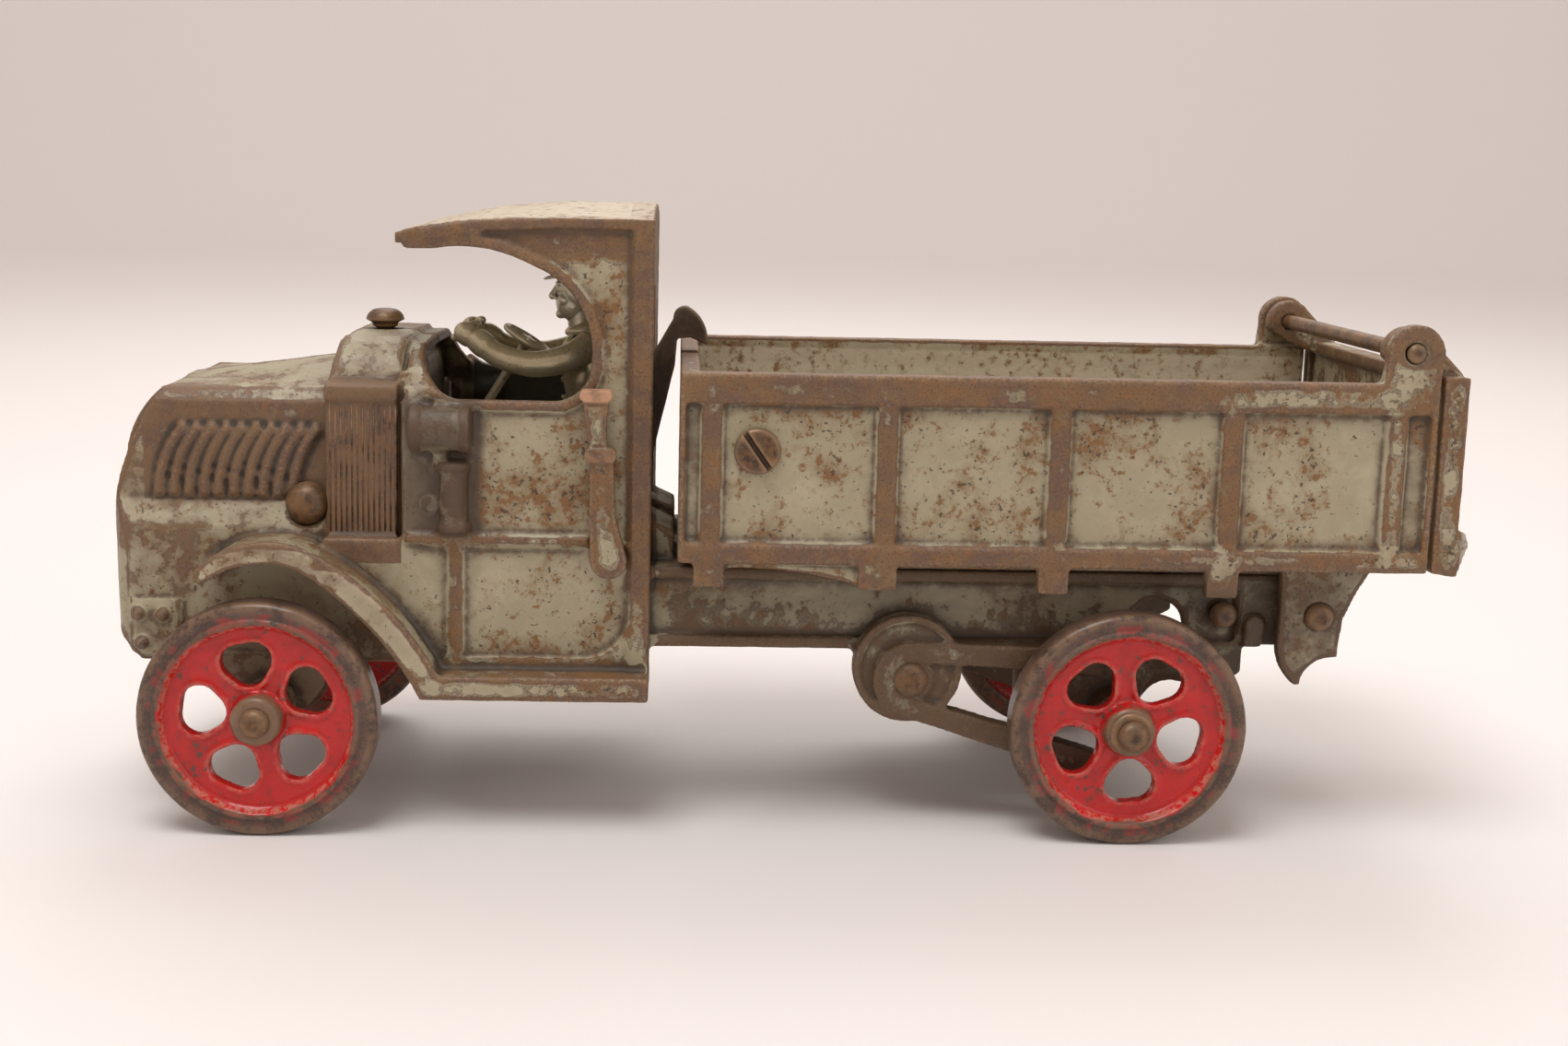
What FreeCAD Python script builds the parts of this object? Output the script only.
import FreeCAD, Part
import math
import os
import Sketcher

# A cast-iron toy dump truck: two mirrored body castings riveted together, a
# tipping bed made of two castings, a swinging tailgate, a bed hook worked by
# a side lever, a seated driver and four cast wheels on peened axles.
# Millimetres. +Z is up, the nose points along -X, and the truck's left side,
# with the lever, faces -Y. The origin is on the ground under the middle.

Vector = FreeCAD.Vector
Rotation = FreeCAD.Rotation
Placement = FreeCAD.Placement

doc = FreeCAD.newDocument("toy_dump_truck")

DIMENSIONS = {
    "steering_radius": 5.9,
    "steering_rim": 0.8,
    "wheel_radius": 26.7,
    "tyre_width": 8.0,
    "wheel_face": 46.8,
    "disc_thick": 2.8,
    "disc_recess": 3.0,
    "lip_radius": 21.2,
    "hub_radius": 5.7,
    "axle_radius": 2.38,
    "axle_peen": 3.4,
    "running_gap": 0.05,
    "front_axle_x": -117.0,
    "rear_axle_x": 77.6,
    "cast_wall": 2.4,
    "hood_half": 27.5,
    "apron_half": 31.2,
    "radiator_half": 32.2,
    "cab_half": 36.0,
    "cab_front": -86.4,
    "cab_rear": -30.8,
    "cab_floor": 54.4,
    "belt_height": 66.5,
    "louvre_pitch": 3.34,
    "louvre_rise": 23.8,
    "louvre_thick": 1.15,
    "fin_pitch": 1.22,
    "fin_width": 0.75,
    "fender_half": 45.0,
    "fender_thick": 2.9,
    "board_low": 32.0,
    "board_high": 36.6,
    "rail_half": 31.5,
    "rail_low": 40.7,
    "rail_high": 59.6,
    "rail_flange": 2.8,
    "rail_rear": 129.4,
    "chain_face": 36.2,
    "latch_x": -39.8,
    "latch_z": 62.6,
    "latch_radius": 2.4,
    "hook_thick": 4.0,
    "rivet_radius": 2.0,
    "pivot_x": 122.0,
    "pivot_z": 51.4,
    "pivot_radius": 2.4,
    "ear_in": 33.8,
    "ear_out": 36.8,
    "bed_half": 45.0,
    "bed_panel": 43.4,
    "bed_inner": 41.2,
    "bed_front": -24.5,
    "bed_rear": 142.8,
    "bed_low": 63.3,
    "bed_high": 105.9,
    "bed_floor": 64.1,
    "floor_thick": 2.6,
    "bottom_rail": 5.3,
    "top_rail": 7.0,
    "rib_width": 4.8,
    "gate_pin_x": 136.8,
    "gate_pin_z": 112.7,
    "gate_pin_radius": 1.9,
    "gate_ear_radius": 6.4,
    "gate_in": 143.7,
    "gate_out": 149.4,
    "screw_x": -7.3,
    "screw_z": 88.6,
    "screw_radius": 1.9,
}

sheet = doc.addObject("Spreadsheet::Sheet", "dims")
for row, (alias, number) in enumerate(DIMENSIONS.items(), start=1):
    sheet.set(f"A{row}", alias)
    sheet.set(f"B{row}", str(number))
    sheet.setAlias(f"B{row}", alias)
doc.recompute()
D = {alias: float(sheet.get(alias)) for alias in DIMENSIONS}

WALL = D["cast_wall"]
GAP = D["running_gap"]


# ---------------------------------------------------------------- helpers

PLANES = {
    "XZ": Rotation(Vector(1, 0, 0), 90),       # sketch up is +Z, normal is -Y
    "YZ": Rotation(Vector(1, 1, 1), 120),      # sketch right is +Y, normal is +X
    "XY": Rotation(),                          # normal is +Z
}


def at(plane, offset):
    """The placement of a sketch on a plane, moved along the world axis across it."""
    across = {"XZ": Vector(0, offset, 0), "YZ": Vector(offset, 0, 0), "XY": Vector(0, 0, offset)}
    return Placement(across[plane], PLANES[plane])


def draw(sketch, path):
    """Close a path: a step is an end point, or (middle, end) for an arc."""
    start = path[0]
    here = start
    for step in list(path[1:]) + [start]:
        curved = isinstance(step[0], tuple)
        end = step[1] if curved else step
        first, last = Vector(*here, 0), Vector(*end, 0)
        if curved:
            sketch.addGeometry(Part.Arc(first, Vector(*step[0], 0), last), False)
        elif first.distanceToPoint(last) > 1e-6:
            sketch.addGeometry(Part.LineSegment(first, last), False)
        here = end


def outline(name, plane, offset, path):
    sketch = doc.addObject("Sketcher::SketchObject", name)
    sketch.Placement = at(plane, offset)
    draw(sketch, path)
    return sketch


def size(obj, prop, amount):
    """Bind a size to the sheet: amount is a number or an expression such as dims.rib_width."""
    obj.setExpression(prop, str(amount))


def put(obj, spot):
    """Bind where an object stands, as (x, y, z) of numbers or expressions."""
    for axis, amount in zip("xyz", spot):
        size(obj, f"Placement.Base.{axis}", amount)


def slab(name, plane, offset, path, length):
    """A closed outline pushed along its plane's normal."""
    solid = doc.addObject("Part::Extrusion", name)
    solid.Base = outline(name + "_outline", plane, offset, path)
    solid.DirMode = "Normal"
    solid.Solid = True
    size(solid, "LengthFwd", length)
    return solid


def box(name, low, high):
    """A block between two corners, each of numbers or expressions."""
    solid = doc.addObject("Part::Box", name)
    for prop, start, end in zip(("Length", "Width", "Height"), low, high):
        size(solid, prop, f"({end}) - ({start})")
    put(solid, low)
    return solid


def rod(name, centre, radius, length, direction=(0, 1, 0)):
    """A cylinder that starts at centre and runs along direction."""
    solid = doc.addObject("Part::Cylinder", name)
    size(solid, "Radius", radius)
    size(solid, "Height", length)
    solid.Placement = Placement(Vector(), Rotation(Vector(0, 0, 1), Vector(*direction)))
    put(solid, centre)
    return solid


def ball(name, centre, radius):
    solid = doc.addObject("Part::Sphere", name)
    size(solid, "Radius", radius)
    put(solid, centre)
    return solid


def turned(name, x, z, profile):
    """Turn a profile of (radius, y) points about the line through (x, z) along Y."""
    sketch = doc.addObject("Sketcher::SketchObject", name + "_profile")
    sketch.Placement = Placement(Vector(x, 0, z), Rotation())
    draw(sketch, profile)
    solid = doc.addObject("Part::Revolution", name)
    solid.Source = sketch
    solid.Axis = Vector(0, 1, 0)
    solid.Base = Vector(x, 0, z)
    solid.Angle = 360
    solid.Solid = True
    return solid


def loft(name, sections):
    solid = doc.addObject("Part::Loft", name)
    solid.Sections = sections
    solid.Solid = True
    solid.Ruled = True
    return solid


def fuse(name, solids):
    joined = doc.addObject("Part::MultiFuse", name)
    joined.Shapes = solids
    joined.Refine = True
    return joined


def common(name, solids):
    shared = doc.addObject("Part::MultiCommon", name)
    shared.Shapes = solids
    return shared


def cut(name, base, tools):
    tool = tools[0] if len(tools) == 1 else fuse(name + "_tools", tools)
    result = doc.addObject("Part::Cut", name)
    result.Base = base
    result.Tool = tool
    return result


def mirror(name, source):
    """The same casting on the other side of the seam."""
    result = doc.addObject("Part::Mirroring", name)
    result.Source = source
    result.Base = Vector(0, 0, 0)
    result.Normal = Vector(0, 1, 0)
    return result


parts = {}


# ------------------------------------------------------------- body castings

def hood():
    """Upper hood, wider apron below it, sloped nose, louvres and cast lugs."""
    def section(name, x, ridge, inset):
        side = D["hood_half"] - inset
        apron = D["apron_half"] - inset
        low = 36.0 if inset == 0 else 30.0
        return outline(name, "YZ", x, [
            (0, ridge - inset), (-12.0, ridge - 1.4 - inset), (2.6 - side, 98.4 - inset),
            (-side, 95.4 - inset), (-side, 73.6 - 0.4 * inset), (-apron, 67.2 - 0.4 * inset),
            (-apron, low), (0, low)])

    def nose(name, inset):
        tip = -153.2 + inset
        return slab(name, "XZ", 0, [
            (-102.0, 30.0), (-146.5 + inset, 30.0), (-146.5 + inset, 36.5), (tip + 1.2, 42.0),
            (tip, 67.0), ((tip + 1.6, 77.0), (tip + 4.6, 86.0)), (tip + 11.0, 98.0 - inset),
            (tip + 14.0, 106.0), (-102.0, 106.0)], 40.0)

    def plan(name, inset):
        tip = -154.5 + inset
        half = D["apron_half"] + 1.0 - inset
        return slab(name, "XY", 28.0, [
            (-102.0, 0), (tip, 0), ((tip + 0.9, 8.0 - half), (tip + 3.6, 2.6 - half)),
            (tip + 7.0, -half), (-102.0, -half)], 80.0)

    skin = common("hood_skin", [
        loft("hood_loft", [section("hood_front", -154.0, 97.4, 0), section("hood_back", -102.4, 104.6, 0)]),
        nose("nose_side", 0), plan("nose_plan", 0)])
    hollow = common("hood_hollow", [
        loft("hood_loft_in", [section("hood_front_in", -154.0, 97.4, WALL),
                              section("hood_back_in", -100.0, 104.9, WALL)]),
        nose("nose_side_in", WALL), plan("nose_plan_in", WALL)])
    pieces = []
    louvres, first_foot, foot_z, sweep = 10, -142.2, 74.2, 41.3
    turn = Rotation(Vector(1, 0, 0), 90).multiply(Rotation(Vector(0, 0, 1), 180 - sweep))
    for index in range(louvres):
        louvre = doc.addObject("Part::Torus", f"louvre_{index}")
        size(louvre, "Radius1", "dims.louvre_rise")
        size(louvre, "Radius2", "dims.louvre_thick")
        louvre.Angle3 = sweep
        louvre.Placement = Placement(Vector(), turn)
        put(louvre, (f"{first_foot} + dims.louvre_rise + {index} * dims.louvre_pitch",
                     "-dims.hood_half - 0.35", foot_z))
        pieces.append(louvre)
    crest = slab("nose_crest", "XZ", 0, [
        (-151.8, 80.0), ((-149.6, 89.5), (-143.2, 97.6)), (-140.8, 97.6),
        ((-147.0, 89.5), (-149.6, 80.0))], 21.0)
    pieces.append(crest)
    lug_plate = box("lug_plate", (-148.4, "-dims.apron_half - 0.9", 38.0),
                    (-137.0, "-dims.apron_half + 0.2", 49.8))
    pieces.append(lug_plate)
    for index, (x, z) in enumerate(((-146.3, 47.2), (-140.8, 47.0), (-145.6, 40.6))):
        pieces.append(ball(f"lug_{index}", (x, -D["apron_half"] - 0.8, z), 1.7))
    return cut("hood_shell", fuse("hood_outer", [skin] + pieces), [hollow])


def radiator():
    """The housing behind the hood: sloped shoulders, ledges and upright fins."""
    half = D["radiator_half"]
    front, back = -104.0, -87.4
    shoulder = [(0, 110.2), (-15.0, 109.8), ((-23.5, 108.0), (-28.8, 101.2)), (-half - 1.6, 100.3),
                (-half - 1.6, 97.0), (-half, 96.6), (-half, 65.4), (-half - 2.0, 65.2),
                (-half - 2.0, 62.2), (-D["apron_half"], 62.0), (-D["apron_half"], 36.0), (0, 36.0)]
    block = slab("radiator_block", "YZ", front, shoulder, back - front)
    lean = slab("radiator_lean", "XZ", 10, [
        (front + 2.2, 112.0), (front - 1.0, 112.0), (front - 1.0, 99.0), (front - 0.01, 99.0)], 60.0)
    inside = slab("radiator_inside", "YZ", front - 1.0, [
        (0, 107.8), (-14.5, 107.4), ((-22.0, 106.0), (-26.4, 99.6)), (-half + WALL, 96.0),
        (-half + WALL, 66.0), (-D["apron_half"] + WALL, 62.0), (-D["apron_half"] + WALL, 30.0), (0, 30.0)],
        back - front - WALL + 1.0)
    shell = cut("radiator_shell", block, [lean, inside])
    fins, first_fin = 13, front + 1.0
    ribs = []
    for index in range(fins):
        start = f"{first_fin} + {index} * dims.fin_pitch"
        ribs.append(box(f"fin_{index}", (start, "-dims.radiator_half - 0.8", 65.3),
                        (f"{start} + dims.fin_width", "-dims.radiator_half + 0.4", 97.0)))
    groove_wall = box("firewall", (back - 0.2, "-dims.apron_half", 36.0), ("dims.cab_front + 1.0", 0, 103.0))
    neck = slab("firewall_top", "YZ", back - 0.2, [
        (0, 109.2), (-14.6, 108.8), ((-22.6, 107.0), (-27.6, 100.6)), (-31.0, 99.0), (0, 99.0)], 1.4)
    return [shell, groove_wall, neck] + ribs


def cab_opening():
    """The driver's side opening: flat sill, then one sweep up and over to the visor."""
    return [(-72.9, 97.8), (-51.6, 97.8), ((-46.3, 100.6), (-44.2, 107.0)),
            ((-46.6, 118.6), (-56.8, 127.4)), ((-66.6, 131.0), (-79.0, 131.0)),
            (-90.0, 130.8), (-90.0, 100.8), (-79.0, 100.8), ((-76.6, 98.7), (-72.9, 97.8))]


def grown_opening(grow):
    """The same sweep pushed outward, for the raised bead that follows it."""
    return [(-72.9, 97.8 - grow), (-51.2, 97.8 - grow),
            ((-46.3 + 0.8 * grow, 100.6 - 0.6 * grow), (-44.2 + grow, 107.0)),
            ((-46.6 + 0.8 * grow, 118.6 + 0.6 * grow), (-56.8 + 0.5 * grow, 127.4 + 0.9 * grow)),
            ((-66.6, 131.0 + grow), (-79.0, 131.0 + grow)),
            (-90.0, 130.8 + grow), (-90.0, 100.8), (-79.0 - grow, 100.8),
            ((-77.2 - 0.6 * grow, 98.7 - 0.6 * grow), (-72.9, 97.8 - grow))]


def cab():
    """Cab side, rear flange, roof half, beads, lamps cast in relief and floor."""
    half, front, rear = D["cab_half"], D["cab_front"], D["cab_rear"]
    board_top = D["board_high"] - 1.0
    roof_line = [(-87.2, 132.4), (-87.8, 134.4), (-85.0, 135.2), ((-71.0, 137.5), (-56.0, 138.2)),
                 (rear, 138.2)]
    side = slab("cab_side", "XZ", WALL - half, [
        (front, board_top), (front, 97.2), (-82.6, 98.2), (-79.4, 100.8), (-79.4, 130.0)]
        + roof_line + [(rear, board_top)], WALL)
    scuttle = slab("scuttle", "YZ", front + 0.6, [
        (0, 109.0), (-16.0, 108.6), ((-25.0, 107.0), (-31.5, 100.0)), (-half, 97.0), (-half, 93.0),
        (WALL - half, 93.0), (-30.0, 97.4), ((-23.6, 104.6), (-15.6, 106.2)), (0, 106.6)], 7.6)
    sweep = slab("scuttle_sweep", "XZ", 1.0, [
        (-82.6, 112.0), ((-81.4, 103.2), (-76.8, 97.8)), (-70.0, 97.8), (-70.0, 112.0)], half + 2.0)
    cowl = cut("cowl", scuttle, [sweep])
    window = slab("cab_window", "XZ", 5 - half, cab_opening(), 12.0)
    bead_outer = slab("bead_outer", "XZ", 0.4 - half, grown_opening(2.4), 1.3)
    bead_limit = slab("bead_limit", "XZ", 3 - half, [
        (-85.6, 134.0), (-85.6, 129.0), (-66.0, 126.0), (-66.0, 112.0), (-76.5, 100.2), (-79.4, 99.8),
        (-81.4, 97.4), (-77.0, 94.0), (-40.0, 94.0), (-40.0, 137.5), (-70.0, 137.0)], 8.0)
    bead = common("opening_bead", [bead_outer, bead_limit])
    roof_stations = ((-88.2, 134.0, 134.6), (-81.0, 135.4, 137.0), (-68.0, 137.4, 139.8),
                     (-52.0, 138.3, 141.3), (rear + 0.4, 138.3, 141.2))
    sections = []
    for index, (x, eave, crown) in enumerate(roof_stations):
        edge = half + 1.3 if index else half - 4.0
        sections.append(outline(f"roof_section_{index}", "YZ", x, [
            (0, crown), ((-0.5 * edge, eave + 0.77 * (crown - eave)), (-edge, eave)),
            (-edge, eave - 2.4), ((-0.5 * edge, eave - 2.4 + 0.77 * (crown - eave)), (0, crown - 2.4))]))
    roof = loft("roof_half", sections)
    back_frame = slab("back_frame", "YZ", rear - WALL, [
        (-half, board_top), (-half, 138.0), ((-0.5 * half, 139.6), (0, 140.0)), (0, 121.0),
        (-9.0, 121.0), ((-12.4, 119.4), (-14.0, 116.0)), (-14.0, board_top)], WALL)
    corner = box("corner_strip", ("dims.cab_rear - 4.4", "-dims.cab_half - 1.2", 31.5),
                 ("dims.cab_rear + 0.4", "-dims.cab_half + 1.0", 137.6))
    belt = box("belt_bead", ("dims.cab_front + 1.2", "-dims.cab_half - 1.2", "dims.belt_height - 1.1"),
               (-44.6, "-dims.cab_half + 0.4", "dims.belt_height + 1.0"))
    post = box("post_bead", (-75.4, "-dims.cab_half - 1.1", 37.0),
               (-72.9, "-dims.cab_half + 0.4", "dims.belt_height - 0.9"))
    panel = slab("panel_frame", "XZ", 0.4 - half, [
        (-73.2, 36.6), (-73.2, 65.8), (rear - 1.0, 65.8), (rear - 1.0, 36.6)], 1.2)
    panel_hole = slab("panel_hole", "XZ", 5 - half, [
        (-72.4, 39.2), (-72.4, 63.6), ((-71.9, 64.4), (-71.2, 64.6)), (-35.2, 64.6), (-35.2, 49.0),
        ((-38.3, 42.3), (-45.0, 39.2))], 12.0)
    panel_rim = cut("panel_rim", panel, [panel_hole])
    eave_bead = slab("eave_bead", "XZ", 0.4 - half, [
        (rear, 136.6), (-56.0, 136.6), ((-71.0, 135.8), (-84.6, 133.8)), (-86.2, 133.0), (-87.4, 133.4),
        (-85.2, 135.4), ((-71.0, 137.7), (-56.0, 138.4)), (rear, 138.4)], 1.3)
    floor = box("cab_floor_plate",
                ("dims.cab_front", "dims.cast_wall - dims.cab_half - 0.2", "dims.cab_floor - dims.cast_wall"),
                ("dims.cab_rear", 0, "dims.cab_floor"))
    bench = slab("bench", "XZ", 0, [
        (-66.0, D["cab_floor"] - 1.0), (-66.0, 72.0), (-63.6, 74.4), (-47.0, 74.4), (-47.0, 71.0),
        (-49.4, 71.0), (-49.4, 68.0), (-63.6, 68.0), (-63.6, D["cab_floor"] - 1.0)], 24.0)
    reliefs = [
        rod("lamp_barrel", (-83.6, -half - 1.4, 91.4), 4.9, 12.4, (1, 0, 0)),
        rod("lamp_bezel", (-84.2, -half - 1.4, 91.4), 5.5, 2.6, (1, 0, 0)),
        rod("lamp_cap", (-72.6, -half - 1.4, 91.4), 5.4, 2.2, (1, 0, 0)),
        rod("lamp_bracket", (-77.4, -half - 0.6, 82.0), 1.9, 8.0, (0, 0, 1)),
        rod("lantern", (-74.4, -half - 0.9, 69.4), 3.1, 13.0, (0, 0, 1)),
        rod("lantern_top", (-74.4, -half - 0.9, 82.4), 3.7, 1.8, (0, 0, 1)),
        rod("lantern_foot", (-74.4, -half - 0.9, 68.2), 3.8, 1.8, (0, 0, 1)),
        rod("lantern_stay", (-79.9, -half + 1.0, 74.0), 2.0, 1.9, (0, -1, 0)),
    ]
    stay_hole = rod("lantern_stay_hole", (-79.9, -half - 2.0, 73.0), 0.8, 1.6, (0, 1, 0))
    pin_hole = rod("cab_pin_hole", (-41.6, -half - 1.0, 102.6), 0.7, 1.8, (0, 1, 0))
    walls = fuse("cab_walls", [side, roof, back_frame, cowl])
    trimmed = cut("cab_trimmed", walls, [window])
    bead_ring = cut("opening_ring", bead, [slab("ring_window", "XZ", 5 - half, cab_opening(), 12.0)])
    beads = [bead_ring, corner, belt, post, panel_rim, eave_bead]
    body = fuse("cab_body", [trimmed, floor, bench] + beads + reliefs)
    return cut("cab_shell", body, [stay_hole, pin_hole])


def fender():
    """One strip that curls over the front wheel and runs back as the step board."""
    thick = D["fender_thick"]
    low, high = D["board_low"], D["board_high"]
    strip = slab("fender_strip", "XZ", -D["apron_half"] + WALL, [
        (-128.9, 57.0), ((-119.4, 62.2), (-108.0, 61.4)), ((-97.0, 53.6), (-80.2, low)),
        (D["cab_rear"] + 0.4, low), (D["cab_rear"] + 0.4, high), (-77.6, high),
        ((-95.2, 58.0), (-106.4, 61.4 + thick + 0.6)), ((-118.6, 62.2 + thick + 0.9), (-129.9, 59.9))],
        D["fender_half"] - D["apron_half"] + WALL)
    lip = slab("fender_lip", "XZ", 1.6 - D["fender_half"], [
        (-129.4, 56.2), ((-119.4, 61.2), (-108.2, 60.5)), ((-97.8, 52.9), (-81.2, low - 0.7)),
        (D["cab_rear"] + 0.4, low - 0.7), (D["cab_rear"] + 0.4, high + 0.3), (-77.2, high + 0.3),
        ((-95.0, 58.4), (-106.4, 65.3)), ((-118.6, 66.4), (-130.4, 60.1))], 1.6)
    splash = slab("splash_plate", "XZ", WALL - D["cab_half"], [
        (-105.0, 59.0), ((-96.4, 54.4), (-79.4, low + 1.0)), (-70.0, low + 1.0), (-70.0, 60.0),
        (-80.0, 66.0), (-104.0, 66.0)], 2.2)
    splash_rim = slab("splash_rim", "XZ", 0.4 - D["cab_half"], [
        (-86.0, 65.6), (-76.0, 65.6), (-74.6, 64.0), (-74.6, 37.0), (-78.0, 36.6), (-76.0, 40.0),
        (-75.9, 62.6), ((-76.6, 64.2), (-78.2, 64.6))], 1.1)
    inner_arch = slab("inner_arch", "XZ", WALL - D["apron_half"] - 0.4, [
        (-130.0, 36.0), (-130.0, 58.0), (-104.0, 62.0), (-86.0, 62.0), (-86.0, 36.0)], WALL - 0.4)
    return [strip, lip, splash, splash_rim, inner_arch]


def chassis():
    """Channel-shaped side rail with its deck, axle brackets, stub and rear plate."""
    half, low, high = D["rail_half"], D["rail_low"], D["rail_high"]
    start = D["cab_rear"] - 2.0
    web = slab("rail_web", "XZ", 4.3 - half, [
        (start, low), (start, high), (D["rail_rear"] - 1.5, high), (D["rail_rear"], high - 1.5),
        (D["rail_rear"] - 0.2, 44.4), (D["rail_rear"] - 1.6, 42.9), (94.0, 42.9), (93.6, low)], 2.4)
    web_hole = rod("web_hole", (86.8, -half - 1.0, 46.7), 6.3, 8.0, (0, 1, 0))
    top = box("rail_top", (start, "-dims.rail_half", "dims.rail_high - dims.rail_flange"),
              (109.0, "4.3 - dims.rail_half", "dims.rail_high"))
    foot = box("rail_foot", (start, "-dims.rail_half", "dims.rail_low"),
               (78.0, "4.3 - dims.rail_half", "dims.rail_low + dims.rail_flange"))
    rear_plate = slab("rear_plate", "XZ", 3.6 - half, [
        (105.0, 42.9), (105.0, high), (D["rail_rear"] - 1.5, high), (D["rail_rear"], high - 1.5),
        (D["rail_rear"] - 0.2, 44.4), (D["rail_rear"] - 1.6, 42.9)], 3.6)
    deck = box("chassis_deck", (start, "2.0 - dims.rail_half", "dims.rail_high - dims.cast_wall"),
               (112.0, 0, "dims.rail_high"))
    step = box("deck_step", (start, "2.0 - dims.rail_half", "dims.cab_floor - dims.cast_wall"),
               (start + WALL, 0, "dims.rail_high"))
    axle_x, axle_z = D["rear_axle_x"], D["wheel_radius"]
    pedestal = slab("rear_pedestal", "XZ", 3.6 - half, [
        (54.0, 43.6), (107.0, 43.6), (107.0, 36.4), ((101.0, 33.6), (92.0, 34.0)),
        ((85.4, 32.0), (83.4, axle_z)), ((axle_x, 20.6), (71.0, 22.6)), ((62.0, 24.0), (54.0, 31.0))], 3.2)
    boss_face = D["wheel_face"] - D["tyre_width"] - 0.8
    rear_boss = rod("rear_boss", (axle_x, 3.6 - half, axle_z), 6.4, boss_face - half + 3.6, (0, -1, 0))
    front_bracket = slab("front_bracket", "XZ", WALL - D["apron_half"] - 0.4, [
        (-132.0, 38.0), (-102.0, 38.0), ((-108.8, 24.0), (D["front_axle_x"], 20.0)),
        ((-125.2, 24.0), (-132.0, 38.0))], 2.6)
    front_boss = rod("front_boss", (D["front_axle_x"], -27.0, axle_z), 6.2, boss_face - 27.0, (0, -1, 0))
    stub = slab("stop_stub", "XZ", 0.5 - half, [
        (106.2, 42.9), (106.6, 47.0), ((108.8, 50.4), (111.2, 48.0)), (110.6, 42.9)], 2.3)
    teardrop = rod("pivot_pad", (D["pivot_x"], 1.0 - half, D["pivot_z"]), 5.6, 2.6, (0, -1, 0))
    beam = slab("cross_beam", "XZ", -5.0, [
        (start, 55.0), (start, 69.4), (-31.0, 68.8), (-25.3, 66.2), (-25.3, 55.0)], 19.0)
    pierced = cut("rail_web_pierced", web, [web_hole])
    return [pierced, top, foot, rear_plate, deck, step, pedestal, rear_boss, front_bracket, front_boss,
            stub, teardrop, beam]


def tangent_loop(left, left_radius, right, right_radius):
    """The outline of a belt around two discs, as (point, (middle, end)) steps."""
    reach = math.dist(left, right)
    heading = math.atan2(right[1] - left[1], right[0] - left[0])
    spread = math.acos((left_radius - right_radius) / reach)

    def rim(centre, radius, angle):
        return (centre[0] + radius * math.cos(angle), centre[1] + radius * math.sin(angle))

    upper, lower = heading + spread, heading - spread
    return [rim(left, left_radius, upper), rim(right, right_radius, upper),
            (rim(right, right_radius, heading), rim(right, right_radius, lower)),
            rim(left, left_radius, lower),
            (rim(left, left_radius, heading + math.pi), rim(left, left_radius, upper))]


def chain_drive():
    """Drive sprocket, chain loop and wheel sprocket, cast as one relief on the rail."""
    hub, hub_z = 29.3, 35.0
    axle = (D["rear_axle_x"], D["wheel_radius"])
    inner = 0.6 - D["rail_half"]
    reach = D["chain_face"] - D["rail_half"] + 0.6
    guard_x, guard_z, guard_radius = 28.6, 37.4, 12.6
    guard = rod("sprocket_guard", (guard_x, inner, guard_z), guard_radius, reach - 1.6, (0, -1, 0))
    guard_rim_solid = rod("guard_rim", (guard_x, inner, guard_z), guard_radius, reach - 0.6, (0, -1, 0))
    guard_bore = rod("guard_bore", (guard_x, 0, guard_z), guard_radius - 1.6, 50.0, (0, -1, 0))
    guard_rim = cut("guard_ring", guard_rim_solid, [guard_bore])
    band = slab("chain_outer", "XZ", inner, tangent_loop((hub, hub_z), 8.8, axle, 16.0), reach)
    window = slab("chain_window", "XZ", inner + 1, tangent_loop((hub, hub_z), 4.2, axle, 9.4), reach + 2)
    beyond = box("chain_beyond", (axle[0] - 4.0, -60, 0), (axle[0] + 30.0, 0, 60))
    loop = cut("chain_loop", band, [window, beyond])
    tooth = slab("sprocket_tooth", "XZ", inner, [
        (31.0, 30.0), (31.0, 40.5), (37.2, 38.0), (35.8, 35.9), (38.2, 34.9), (36.0, 33.0),
        (37.0, 31.2)], reach - 1.4)
    hub_ring = rod("sprocket_hub", (hub, inner, hub_z), 5.4, reach - 0.4, (0, -1, 0))
    return [guard, guard_rim, loop, tooth, hub_ring]


def through_holes():
    """Holes for the rivets, rods, axles and latch shaft, cut through each half."""
    bores = [
        ("hood_rivet_hole", -108.6, 72.6, "dims.rivet_radius + dims.running_gap"),
        ("middle_rivet_hole", 29.3, 35.0, "dims.rivet_radius + dims.running_gap"),
        ("rear_rivet_hole", 101.6, 50.3, "dims.rivet_radius + dims.running_gap"),
        ("pivot_hole", D["pivot_x"], D["pivot_z"], "dims.pivot_radius + dims.running_gap"),
        ("front_axle_hole", D["front_axle_x"], D["wheel_radius"], "dims.axle_radius + dims.running_gap"),
        ("rear_axle_hole", D["rear_axle_x"], D["wheel_radius"], "dims.axle_radius + dims.running_gap"),
        ("latch_hole", D["latch_x"], D["latch_z"], "dims.latch_radius + dims.running_gap"),
    ]
    return [rod(name, (x, 5.0, z), radius, 60.0, (0, -1, 0)) for name, x, z, radius in bores]


def cap_socket():
    socket = doc.addObject("Part::Cylinder", "cap_socket")
    socket.Radius = 2.05
    socket.Height = 12.0
    socket.Placement.Base = Vector(-95.5, 0, 100.0)
    return socket


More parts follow.
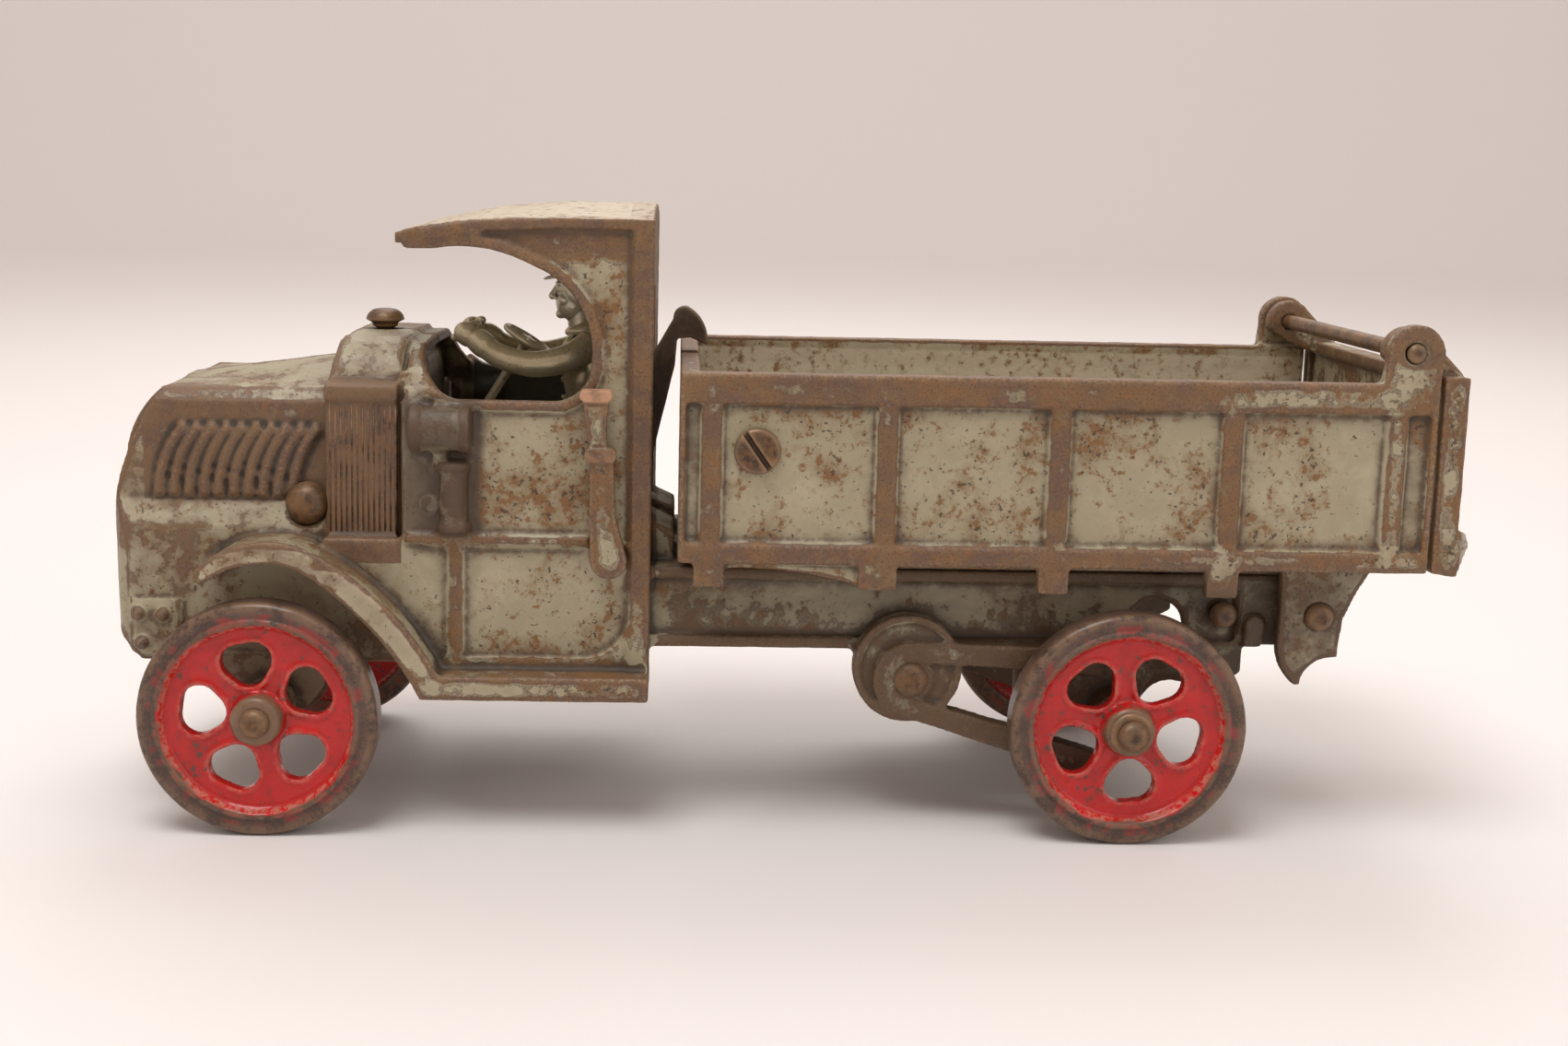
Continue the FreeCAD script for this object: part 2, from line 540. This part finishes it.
casting = fuse("half_casting", [hood(), cab()] + radiator() + fender() + chassis() + chain_drive())
seam_side = box("seam_side", (-160, 0, 0), (160, 60, 160))
rivet_seat = rod("hood_rivet_seat", (-108.6, -28.1, 72.6), 5.0, 12.0, (0, -1, 0))
half_body = cut("half_body", casting, through_holes() + [cap_socket(), rivet_seat, seam_side])
lever_recess = rod("lever_recess", (D["latch_x"], -D["cab_half"] - 2.0, D["latch_z"]), 4.3, 3.0, (0, 1, 0))
parts["body_left"] = cut("body_left", half_body, [lever_recess])
parts["body_right"] = mirror("body_right", half_body)


# ---------------------------------------------------------- rivets and rods

def tie(name, x, z, shank, heads, seat):
    """A rod peened at both ends: heads are the radius and height of its domes."""
    radius, height = heads
    flat, brow, rise = 0.25 * radius, 0.8 * radius, 0.72 * height
    return turned(name, x, z, [
        (0, -seat - height), (flat, -seat - height), ((brow, -seat - rise), (radius, -seat)),
        (shank, -seat), (shank, seat), (radius, seat),
        ((brow, seat + rise), (flat, seat + height)), (0, seat + height)])


parts["hood_tie_rivet"] = tie("hood_tie_rivet", -108.6, 72.6, D["rivet_radius"], (4.9, 4.6), 28.2)
parts["middle_tie_rivet"] = tie("middle_tie_rivet", 29.3, 35.0, D["rivet_radius"], (4.1, 1.4), 36.0)
parts["rear_tie_rivet"] = tie("rear_tie_rivet", 101.6, 50.3, D["rivet_radius"], (3.2, 2.4), 31.6)
parts["bed_pivot_rod"] = tie("bed_pivot_rod", D["pivot_x"], D["pivot_z"], D["pivot_radius"],
                             (3.3, 2.0), 37.0)

axle_seat = D["wheel_face"] + 1.0
for end, x in (("front", D["front_axle_x"]), ("rear", D["rear_axle_x"])):
    seat = axle_seat if end == "front" else axle_seat + 1.4
    parts[f"{end}_axle"] = tie(f"{end}_axle", x, D["wheel_radius"], D["axle_radius"],
                               (D["axle_peen"], 2.3), seat)


def washer_pair():
    """Two loose washers between the rear hubs and the peened axle ends."""
    pair = []
    for side in (-1, 1):
        face = side * (axle_seat + 0.1)
        ring = turned(f"washer_{'left' if side < 0 else 'right'}", D["rear_axle_x"], D["wheel_radius"], [
            (D["axle_radius"] + GAP, face), (5.0, face), (5.0, face + side * 0.7), (4.3, face + side * 1.2),
            (D["axle_radius"] + GAP, face + side * 1.2)])
        pair.append(ring)
    return fuse("rear_axle_washers", pair)


parts["rear_axle_washers"] = washer_pair()

cap_sketch = outline("cap_profile", "XZ", 0, [
    (-95.5, 101.0), (-93.5, 101.0), (-93.5, 110.4), (-92.4, 110.6), (-92.5, 111.4), (-90.9, 112.2),
    ((-91.8, 114.0), (-94.3, 114.8)), (-95.5, 114.8)])
cap = doc.addObject("Part::Revolution", "radiator_cap")
cap.Source = cap_sketch
cap.Axis = Vector(0, 0, 1)
cap.Base = Vector(-95.5, 0, 0)
cap.Angle = 360
cap.Solid = True
parts["radiator_cap"] = cap


# ------------------------------------------------------------------- latch

def latch_shaft():
    """Plain where it sits in the lever's foot, peened outside the far cab side."""
    tip, seat, radius = -D["cab_half"] - 3.3, D["cab_half"] + 1.5, D["latch_radius"]
    return turned("latch_shaft", D["latch_x"], D["latch_z"], [
        (0, tip), (radius, tip), (radius, seat), (radius + 0.9, seat),
        ((radius + 0.3, seat + 1.0), (0.8, seat + 1.4)), (0, seat + 1.4)])


def release_lever():
    """Side lever: round foot over the shaft's end, shank, collar, waisted neck and thumb piece."""
    x, z = D["latch_x"], D["latch_z"]
    face = -D["cab_half"] - 1.4
    shank = slab("lever_shank", "XZ", face, [
        (x - 4.1, z), ((x, z - 4.1), (x + 4.1, z)), (x + 1.4, 72.5), (x + 0.9, 85.4), (x - 4.4, 85.4),
        (x - 4.4, 72.5)], 3.0)
    collar = slab("lever_collar", "XZ", face + 0.2, [
        (x - 4.4, 84.8), (x + 0.9, 84.8), ((x + 1.5, 86.4), (x + 0.9, 88.0)), (x - 5.0, 88.0),
        ((x - 5.6, 86.4), (x - 5.0, 84.8))], 3.6)
    neck = slab("lever_neck", "XZ", face - 0.2, [
        (x - 4.6, 87.6), (x - 0.5, 87.6), ((x - 0.7, 91.0), (x - 0.2, 98.8)),
        (x - 6.0, 98.8), ((x - 5.1, 91.0), (x - 4.6, 87.6))], 2.6)
    thumb = slab("lever_thumb", "XZ", face + 0.2, [
        (x - 5.8, 98.4), (x - 0.4, 98.4), ((x + 0.6, 99.7), (x - 0.4, 101.0)), (x - 5.8, 101.0),
        ((x - 6.8, 99.7), (x - 5.8, 98.4))], 4.2)
    boss = rod("lever_boss", (x, face, z), 3.6, 1.0, (0, 1, 0))
    whole = fuse("lever_solid", [shank, collar, neck, thumb, boss])
    socket = rod("lever_socket", (x, face + 1.0, z),
                 "dims.latch_radius + dims.running_gap", 3.0, (0, -1, 0))
    return cut("release_lever", whole, [socket])


def bed_hook():
    """Arm on the shaft whose beak reaches back over the front wall of the bed."""
    x, z = D["latch_x"], D["latch_z"]
    half = D["hook_thick"] / 2
    arm = slab("hook_arm", "XZ", half, [
        (x - 5.0, z), ((x, z - 5.0), (x + 5.0, z)), (-30.2, 83.3), (-25.8, 102.4), (-25.3, 108.9),
        (-22.2, 109.3), (-18.0, 107.4), ((-18.9, 112.6), (-23.2, 116.8)),
        ((-25.2, 116.2), (-26.4, 113.6)), (-31.0, 105.4), (-36.4, 84.0)], D["hook_thick"])
    hub = rod("hook_hub", (x, -5.0, z), 4.6, 10.0)
    whole = fuse("hook_solid", [arm, hub])
    bore = rod("hook_bore", (x, -10.0, z), "dims.latch_radius + dims.running_gap", 20.0)
    return cut("bed_hook", whole, [bore])


parts["latch_shaft"] = latch_shaft()
parts["release_lever"] = release_lever()
parts["bed_hook"] = bed_hook()


# ------------------------------------------------------------------ driver

def driver():
    """Seated figure with a flat back, both arms forward to the steering wheel."""
    seat_z = 74.6
    torso = slab("torso", "XZ", 9.5, [
        (-44.0, seat_z), (-44.0, 109.0), ((-45.4, 112.2), (-48.4, 112.6)), ((-52.2, 104.0), (-54.8, 92.0)),
        (-56.6, 84.0), (-56.0, seat_z)], 19.0)
    pieces = [torso]
    for side in (-1, 1):
        hip = side * 5.2
        shoulder = Vector(-47.6, side * 10.2, 108.0)
        elbow = Vector(-58.5, side * 12.0, 103.4)
        wrist = Vector(-70.0, side * 8.6, 108.0)
        pieces.append(ball(f"shoulder_{hip}", shoulder, 3.4))
        pieces.append(limb(f"upper_arm_{side}", shoulder, elbow, 3.1))
        pieces.append(ball(f"elbow_{side}", elbow, 3.0))
        pieces.append(limb(f"forearm_{side}", elbow, wrist, 2.7))
        pieces.append(ball(f"hand_{side}", wrist, 3.2))
        pieces.append(box(f"thigh_{side}", (-69.0, hip - 3.6, seat_z), (-50.0, hip + 3.6, seat_z + 8.0)))
        pieces.append(box(f"shin_{side}", (-73.2, hip - 3.2, 54.6), (-67.0, hip + 3.2, seat_z + 7.2)))
        pieces.append(box(f"shoe_{side}", (-78.4, hip - 3.4, 54.6), (-67.0, hip + 3.4, 58.6)))
    pieces.append(rod("neck", (-47.4, 0, 110.0), 3.3, 6.0, (0, 0, 1)))
    head = doc.addObject("Part::Ellipsoid", "head")
    head.Radius1 = 7.4
    head.Radius2 = 6.4
    head.Radius3 = 5.8
    head.Placement.Base = Vector(-49.0, 0, 120.6)
    pieces.append(head)
    pieces.append(rod("cap_crown", (-48.6, 0, 122.6), 6.5, 5.2, (0, 0, 1)))
    pieces.append(slab("cap_peak", "XY", 122.4, [
        (-50.0, -6.2), ((-57.4, 0), (-50.0, 6.2))], 1.3))
    figure = fuse("driver_solid", pieces)
    return cut("driver", figure, [box("wheel_clearance", (-90, -7.2, 98.0), (-54.0, 7.2, 120.0))])


def limb(name, start, end, radius):
    along = end - start
    return rod(name, tuple(start), radius, along.Length, tuple(along))


def steering_wheel():
    """Rim, cross bar and column, tilted towards the driver."""
    centre = Vector(-61.4, 0, 107.9)
    lean = Rotation(Vector(0, 1, 0), 32)
    rim = doc.addObject("Part::Torus", "steering_rim")
    size(rim, "Radius1", "dims.steering_radius")
    size(rim, "Radius2", "dims.steering_rim")
    rim.Placement = Placement(centre, lean)
    down = lean.multVec(Vector(0, 0, -1))
    column = limb("steering_column", centre, centre + down * 36.0, 1.1)
    hub = limb("steering_hub", centre - down * 0.7, centre + down * 1.6, 1.9)
    bars, spokes, reach = [], 4, D["steering_radius"]
    for index in range(spokes):
        angle = math.tau * index / spokes
        tip = centre + lean.multVec(Vector(reach * math.cos(angle), reach * math.sin(angle), 0))
        bars.append(limb(f"steering_bar_{index}", centre, tip, 0.6))
    return fuse("steering_wheel", [rim, column, hub] + bars)


parts["driver"] = driver()
parts["steering_wheel"] = steering_wheel()


# ------------------------------------------------------------------ wheels

def body_sketch(body, name, role, path, offset=0.0):
    sketch = body.newObject("Sketcher::SketchObject", name)
    plane = next(item for item in body.Origin.OriginFeatures if item.Role == role)
    sketch.AttachmentSupport = [(plane, "")]
    sketch.MapMode = "FlatFace"
    sketch.AttachmentOffset = Placement(Vector(0, 0, offset), Rotation())
    draw(sketch, path)
    return sketch


def window_path(round_radius):
    """A rounded triangle: three corner points, each swept by the same radius."""
    corners = [(11.2, 0.0), (13.2, 1.7), (13.2, -1.7)]
    path = []
    for index, corner in enumerate(corners):
        before, after = corners[index - 1], corners[(index + 1) % 3]
        normals = []
        for start, end in ((before, corner), (corner, after)):
            edge = Vector(end[0] - start[0], end[1] - start[1], 0).normalize()
            normals.append((-edge.y, edge.x))
        middle = Vector(normals[0][0] + normals[1][0], normals[0][1] + normals[1][1], 0).normalize()
        spots = [(corner[0] + round_radius * n[0], corner[1] + round_radius * n[1])
                 for n in (normals[0], (middle.x, middle.y), normals[1])]
        path.append(spots[0])
        path.append((spots[1], spots[2]))
    return path


def wheel(label, x, side, turn):
    """One casting: hub, dished disc with five windows and a plain rim as the tyre."""
    body = doc.addObject("PartDesign::Body", label)
    radius, width = D["wheel_radius"], D["tyre_width"]
    lip, recess, thick = D["lip_radius"], D["disc_recess"], D["disc_thick"]
    bore = D["axle_radius"] + GAP
    hub = D["hub_radius"]
    round_over = 1.6
    bulge = (1 - math.sqrt(0.5)) * round_over
    face = 0.4
    profile = body_sketch(body, label + "_section", "XY_Plane", [
        (bore, -0.9), (hub - 1.4, -0.9), ((hub - 0.4, -0.5), (hub, 0.5)), (hub + 0.5, recess + 0.2),
        (lip - 0.9, recess - 0.4), (lip, recess - 1.6), (lip + 0.3, 0.5), (lip + 1.5, 0.1),
        (lip + 2.0, 0.9), (lip + 2.7, 0.6), (radius - round_over, face),
        ((radius - bulge, face + bulge), (radius, face + round_over)), (radius, width - round_over),
        ((radius - bulge, width - bulge), (radius - round_over, width)), (lip + 0.6, width),
        (lip, recess + thick + 0.2), (hub + 0.5, recess + thick), (hub, width + 0.6), (bore, width + 0.6)])
    turning = body.newObject("PartDesign::Revolution", label + "_turning")
    turning.Profile = (profile, [""])
    turning.ReferenceAxis = (profile, ["V_Axis"])
    turning.Angle = 360
    bead = body_sketch(body, label + "_bead_outline", "XZ_Plane", window_path(5.1), 0.0)
    raised = body.newObject("PartDesign::Pad", label + "_bead")
    raised.Profile = (bead, [""])
    bead.AttachmentOffset = Placement(Vector(0, 0, -(recess + 1.6)), Rotation())
    raised.Length = 2.1
    opening = body_sketch(body, label + "_window_outline", "XZ_Plane", window_path(4.0))
    window = body.newObject("PartDesign::Pocket", label + "_window")
    window.Profile = (opening, [""])
    window.Type = "ThroughAll"
    window.Midplane = True
    doc.recompute()
    ring = body.newObject("PartDesign::PolarPattern", label + "_windows")
    ring.Originals = [raised, window]
    ring.Axis = (opening, ["N_Axis"])
    ring.Angle = 360
    ring.Occurrences = 5
    body.Tip = ring
    facing = Rotation(Vector(0, 0, 1), 0 if side < 0 else 180)
    spin = Rotation(Vector(0, 1, 0), turn)
    body.Placement = Placement(
        Vector(x, side * D["wheel_face"], D["wheel_radius"]), facing.multiply(spin))
    return body


for end, x, turn in (("front", D["front_axle_x"], -29.0), ("rear", D["rear_axle_x"], 13.0)):
    for hand, side in (("left", -1), ("right", 1)):
        label = f"{end}_wheel_{hand}"
        parts[label] = wheel(label, x, side, turn if side < 0 else -turn)


# --------------------------------------------------------------------- bed

RIB_CENTRES = [-17.4, 21.2, 59.3, 97.5, 134.0]


def bed_half():
    """Side wall with rails and ribs, half the front wall, half the floor, ears."""
    half, panel, inner = D["bed_half"], D["bed_panel"], D["bed_inner"]
    front, rear, low, high = D["bed_front"], D["bed_rear"], D["bed_low"], D["bed_high"]
    floor = D["bed_floor"]
    wall = box("bed_wall", ("dims.bed_front", "-dims.bed_panel", "dims.bed_low"),
               ("dims.bed_rear", "-dims.bed_inner", "dims.bed_high"))
    top = slab("bed_top_rail", "YZ", front, [
        (-inner + 0.6, high), (0.5 - half, high), (-half, high - 0.5), (-half, high - D["top_rail"] + 0.5),
        (-half + 0.6, high - D["top_rail"]), (-inner, high - D["top_rail"])], rear - front)
    bottom = slab("bed_bottom_rail", "YZ", front, [
        (-inner, low), (0.4 - half, low), (-half, low + 0.4), (-half, low + D["bottom_rail"] - 0.9),
        (-panel, low + D["bottom_rail"]), (-inner, low + D["bottom_rail"])], rear - front)
    floor_plate = box("bed_floor_plate", ("dims.bed_front", "-dims.bed_inner - 0.5", "dims.bed_floor"),
                      ("dims.bed_rear", 0, "dims.bed_floor + dims.floor_thick"))
    front_wall = box("bed_front_wall", (front, -inner - 0.5, low), (front + 2.8, 0, high))
    front_lip = box("bed_front_lip", (front, -inner - 0.5, high - 5.0), (front + 4.6, 0, high))
    front_edge = box("bed_front_edge", (front, -half, low), (front + 1.4, -panel + 0.2, high))
    rear_edge = box("bed_rear_edge", (rear - 1.6, -half, low), (rear, -panel + 0.2, high))
    ribs = []
    for index, x in enumerate(RIB_CENTRES):
        width = D["rib_width"] / 2
        ribs.append(slab(f"bed_rib_{index}", "XY", low + 1.0, [
            (x - width, -panel + 0.3), (x - width, -panel - 0.7), (x - width + 0.7, 0.3 - half),
            (x + width - 0.7, 0.3 - half), (x + width, -panel - 0.7), (x + width, -panel + 0.3)],
            high - low - 2.0))
    feet_spans = ((-21.0, -14.2, 58.0), (15.6, 24.2, 57.8), (55.6, 62.6, 57.5), (93.4, 100.6, 57.2))
    feet = [box(f"bed_foot_{index}", (x0, 0.2 - half, z), (x1, -inner, low + 1.0))
            for index, (x0, x1, z) in enumerate(feet_spans)]
    skirt = slab("bed_skirt", "XZ", -inner, [
        (-14.4, low + 0.5), (-14.4, 62.0), ((0.0, 61.6), (15.8, 58.4)), (15.8, low + 0.5)], 2.2)
    bearer = box("bed_bearer", (-20.0, -31.4, 59.9), (118.4, -28.6, floor + 0.5))
    ear = slab("bed_ear", "XZ", -D["ear_in"], [
        (112.6, low + 1.2), (113.2, 54.0), (112.9, 45.0), ((114.4, 38.9), (117.6, 35.0)),
        (118.8, 35.2), ((120.6, 39.2), (123.6, 41.2)), (127.2, 41.8), (127.8, 50.4), (130.8, 57.2),
        (133.4, 61.8), (136.0, low + 1.2)], D["ear_out"] - D["ear_in"])
    boss = rod("ear_boss", (D["pivot_x"], -D["ear_in"], D["pivot_z"]), 4.8,
               "dims.ear_out - dims.ear_in", (0, -1, 0))
    stop_x, stop_z = D["pivot_x"] - 3.6, D["pivot_z"] - 15.2
    stop_lug = rod("stop_lug", (stop_x, -D["ear_in"] - 0.5, stop_z), 1.2, 5.6)
    gate_ear = slab("gate_ear", "XZ", -inner - 0.3, [
        (129.6, high - 2.0), (130.2, high), (D["gate_pin_x"] - 6.3, D["gate_pin_z"] - 1.1),
        ((D["gate_pin_x"], D["gate_pin_z"] + D["gate_ear_radius"]),
         (D["gate_pin_x"] + 6.3, D["gate_pin_z"] - 1.1)),
        (rear, high), (rear, high - 2.0)], half - inner - 0.5)
    pieces = [wall, top, bottom, floor_plate, front_wall, front_lip, front_edge, rear_edge, skirt, bearer,
              ear, boss, stop_lug, gate_ear] + ribs + feet
    slot = box("hook_slot", (front - 1.0, -3.0, 88.0), (front + 6.0, 1.0, high + 1.0))
    bores = [
        rod("bed_pivot_bore", ("dims.pivot_x", 5.0, "dims.pivot_z"),
            "dims.pivot_radius + dims.running_gap", 60.0, (0, -1, 0)),
        rod("gate_pin_bore", ("dims.gate_pin_x", 5.0, "dims.gate_pin_z"),
            "dims.gate_pin_radius + 0.3", 60.0, (0, -1, 0)),
        rod("screw_bore", ("dims.screw_x", 5.0, "dims.screw_z"),
            "dims.screw_radius + dims.running_gap", 60.0, (0, -1, 0)),
    ]
    recess = rod("pin_recess", ("dims.gate_pin_x", "1.2 - dims.bed_half", "dims.gate_pin_z"),
                 "dims.gate_pin_radius + 1.0", 3.0, (0, -1, 0))
    return cut("bed_half", fuse("bed_casting", pieces), bores + [slot, recess])


half_bed = bed_half()
head_seat = rod("screw_head_seat", (D["screw_x"], -D["bed_half"] - 1.0, D["screw_z"]), 5.4, 2.2)
parts["bed_left"] = cut("bed_left", half_bed, [head_seat])
parts["bed_right"] = mirror("bed_right", half_bed)


def bed_screw():
    """Long cheese-head screw that draws the two bed castings together."""
    seat = D["bed_panel"] + 0.1
    blank = turned("screw_blank", D["screw_x"], D["screw_z"], [
        (0, -seat - 1.9), (4.2, -seat - 1.9), ((4.9, -seat - 1.6), (5.2, -seat - 0.9)), (5.2, -seat),
        (D["screw_radius"], -seat), (D["screw_radius"], 46.6), (1.2, 47.2), (0, 47.2)])
    half_slot, lean = 0.55, math.radians(-55)
    along = (6.0 * math.cos(lean), 6.0 * math.sin(lean))
    across = (-half_slot * math.sin(lean), half_slot * math.cos(lean))
    corners = [(D["screw_x"] + u * along[0] + v * across[0], D["screw_z"] + u * along[1] + v * across[1])
               for u, v in ((-1, -1), (1, -1), (1, 1), (-1, 1))]
    return cut("bed_screw", blank, [slab("screw_slot", "XZ", -seat - 0.8, corners, 2.2)])


def square_nut():
    nut = box("nut_blank", (D["screw_x"] - 4.2, D["bed_panel"] + 0.05, D["screw_z"] - 4.2),
              (D["screw_x"] + 4.2, D["bed_panel"] + 2.6, D["screw_z"] + 4.2))
    bore = rod("nut_bore", ("dims.screw_x", 30.0, "dims.screw_z"),
               "dims.screw_radius + dims.running_gap", 20.0)
    return cut("bed_nut", nut, [bore])


parts["bed_screw"] = bed_screw()
parts["bed_nut"] = square_nut()


# ---------------------------------------------------------------- tailgate

def tailgate():
    """Framed plate that hangs on two lugs from the pin above the bed's rear end."""
    face_in, face_out = D["gate_in"], D["gate_out"]
    half = 44.6
    low, high = 64.2, 107.6
    plate = box("gate_plate", (face_in + 1.4, -half + 1, low + 1), (face_in + 3.8, half - 1, high - 1))
    frame_outer = box("gate_frame_outer", (face_in, -half, low), (face_out, half, high))
    frame_inner = box("gate_frame_inner", (face_in - 1, -half + 2.6, low + 3.0),
                      (face_out + 1, half - 2.6, high - 3.0))
    frame = cut("gate_frame", frame_outer, [frame_inner])
    bars = [box(f"gate_bar_{index}", (face_in + 2.0, y - 2.2, low + 1), (face_out - 0.8, y + 2.2, high - 1))
            for index, y in enumerate((-15.0, 15.0))]
    pin_x, pin_z = D["gate_pin_x"], D["gate_pin_z"]
    lugs, tabs = [], []
    for side in (-1, 1):
        lug_low = -40.4 if side < 0 else 37.2
        lugs.append(slab(f"gate_lug_{side}", "XZ", lug_low + 3.2, [
            (pin_x - 5.6, pin_z - 1.4), ((pin_x - 1.6, pin_z + 5.4), (pin_x + 4.6, pin_z + 3.4)),
            (face_out, high + 0.4), (face_out, high - 4.0), (face_in + 0.2, high - 3.0),
            ((pin_x + 1.4, pin_z - 6.0), (pin_x - 5.6, pin_z - 1.4))], 3.2))
        tab_low = -half if side < 0 else half - 6.0
        tabs.append(slab(f"gate_tab_{side}", "XZ", tab_low + 6.0, [
            (face_in + 0.2, 63.4), (face_out, 62.6), (face_out + 2.4, 70.0), (face_out + 1.5, 73.0),
            (face_out - 0.5, 73.0),
            (face_in + 0.2, 73.0)], 6.0))
    body = fuse("gate_solid", [plate, frame] + bars + lugs + tabs)
    return cut("tailgate", body, [
        rod("gate_bore", (pin_x, -60.0, pin_z), D["gate_pin_radius"] + GAP, 120.0)])


parts["tailgate"] = tailgate()
parts["tailgate_pin"] = tie("tailgate_pin", D["gate_pin_x"], D["gate_pin_z"], D["gate_pin_radius"],
                            (2.3, 1.3), D["bed_half"] - 1.15)


# ------------------------------------------------------------ check and write

doc.recompute()
for obj in doc.Objects:
    if "Invalid" in obj.State or "Error" in obj.State:
        raise RuntimeError(f"{obj.Label} is {obj.State}")

os.makedirs("parts", exist_ok=True)
for node, obj in parts.items():
    obj.Label = node
    shape = obj.Shape
    if shape.isNull() or not shape.isValid():
        raise RuntimeError(f"{node} has no valid shape")
    shape.exportStep(f"parts/{node}.step")
    box_of = shape.BoundBox
    print(f"{node:20s} solids {len(shape.Solids)} volume {shape.Volume:9.1f}  "
          f"x {box_of.XMin:7.1f} {box_of.XMax:7.1f}  y {box_of.YMin:6.1f} {box_of.YMax:6.1f}  "
          f"z {box_of.ZMin:6.1f} {box_of.ZMax:6.1f}")
